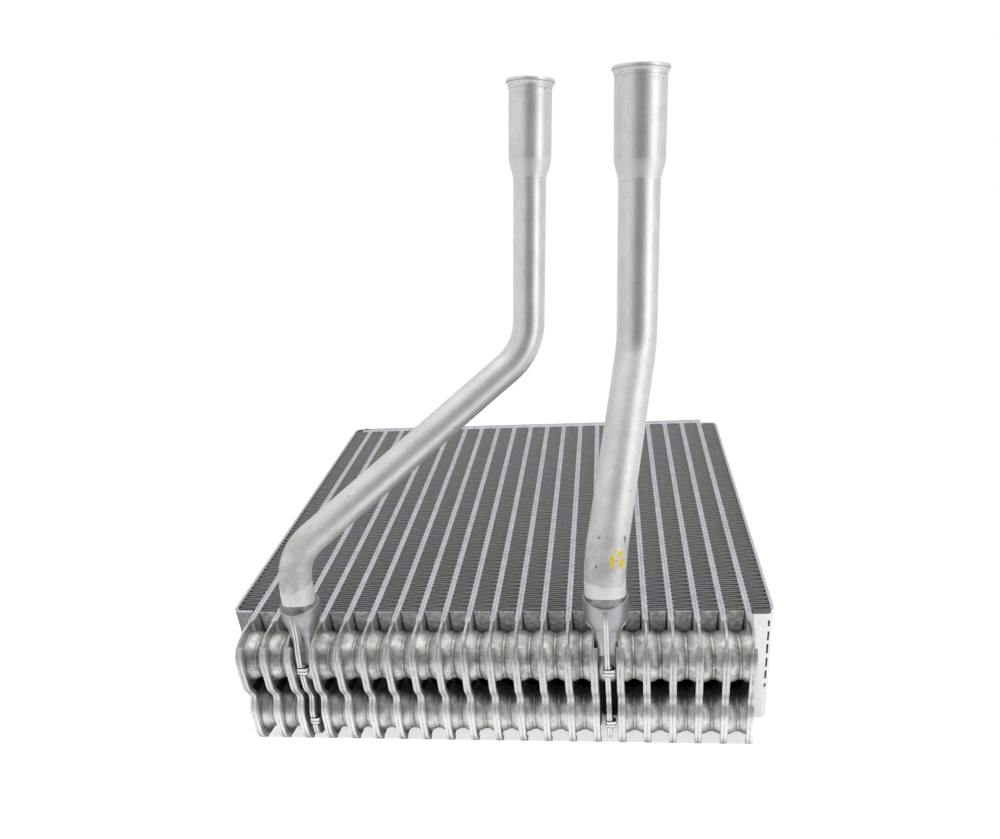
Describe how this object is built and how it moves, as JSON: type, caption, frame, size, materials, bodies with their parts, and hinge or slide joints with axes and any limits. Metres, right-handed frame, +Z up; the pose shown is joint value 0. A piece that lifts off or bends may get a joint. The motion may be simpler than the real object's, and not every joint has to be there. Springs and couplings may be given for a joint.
{
  "type": "evaporator core",
  "caption": "Laminated evaporator core: stacked plate pairs and corrugated fins between two side plates, with two bent pipes ending in flared sockets.",
  "frame": {"origin": "bottom centre of the whole object's box, with the core lying flat on its lower face", "axes": "+X along the stack of plates, from the inlet side to the outlet side; +Y from the tank cups towards the plates' far end; +Z up, out of the face that the pipes leave"},
  "size_m": [0.2244, 0.1986, 0.2575],
  "materials": {
    "plates": "brazed, dull and slightly mottled",
    "fins": "thin coated foil, dark grey",
    "side_plates": "satin sheet",
    "manifolds": "brazed, matt and mottled",
    "pipes": "drawn tube, satin",
    "braze": "solidified brazing metal"
  },
  "bodies": {
    "root": {"fin_01": "fins", "fin_02": "fins", "fin_03": "fins", "fin_04": "fins", "fin_05": "fins", "fin_06": "fins", "fin_07": "fins", "fin_08": "fins", "fin_09": "fins", "fin_10": "fins", "fin_11": "fins", "fin_12": "fins", "fin_13": "fins", "fin_14": "fins", "fin_15": "fins", "fin_16": "fins", "fin_17": "fins", "fin_18": "fins", "fin_19": "fins", "fin_20": "fins", "fin_21": "fins", "fin_22": "fins", "plate_pair_01": "plates", "plate_pair_02": "plates", "plate_pair_03": "plates", "plate_pair_04": "plates", "plate_pair_05": "plates", "plate_pair_06": "plates", "plate_pair_07": "plates", "plate_pair_08": "plates", "plate_pair_09": "plates", "plate_pair_10": "plates", "plate_pair_11": "plates", "plate_pair_12": "plates", "plate_pair_13": "plates", "plate_pair_14": "plates", "plate_pair_15": "plates", "plate_pair_16": "plates", "plate_pair_17": "plates", "plate_pair_18": "plates", "plate_pair_19": "plates", "plate_pair_20": "plates", "plate_pair_21": "plates", "side_plate_left": "side_plates", "side_plate_right": "side_plates", "inlet_manifold_left": "manifolds", "inlet_manifold_right": "manifolds", "outlet_manifold_left": "manifolds", "outlet_manifold_right": "manifolds", "inlet_pipe": "pipes", "outlet_pipe": "pipes", "inlet_braze_ring": "braze", "outlet_braze_ring": "braze"}
  },
  "joints": []
}
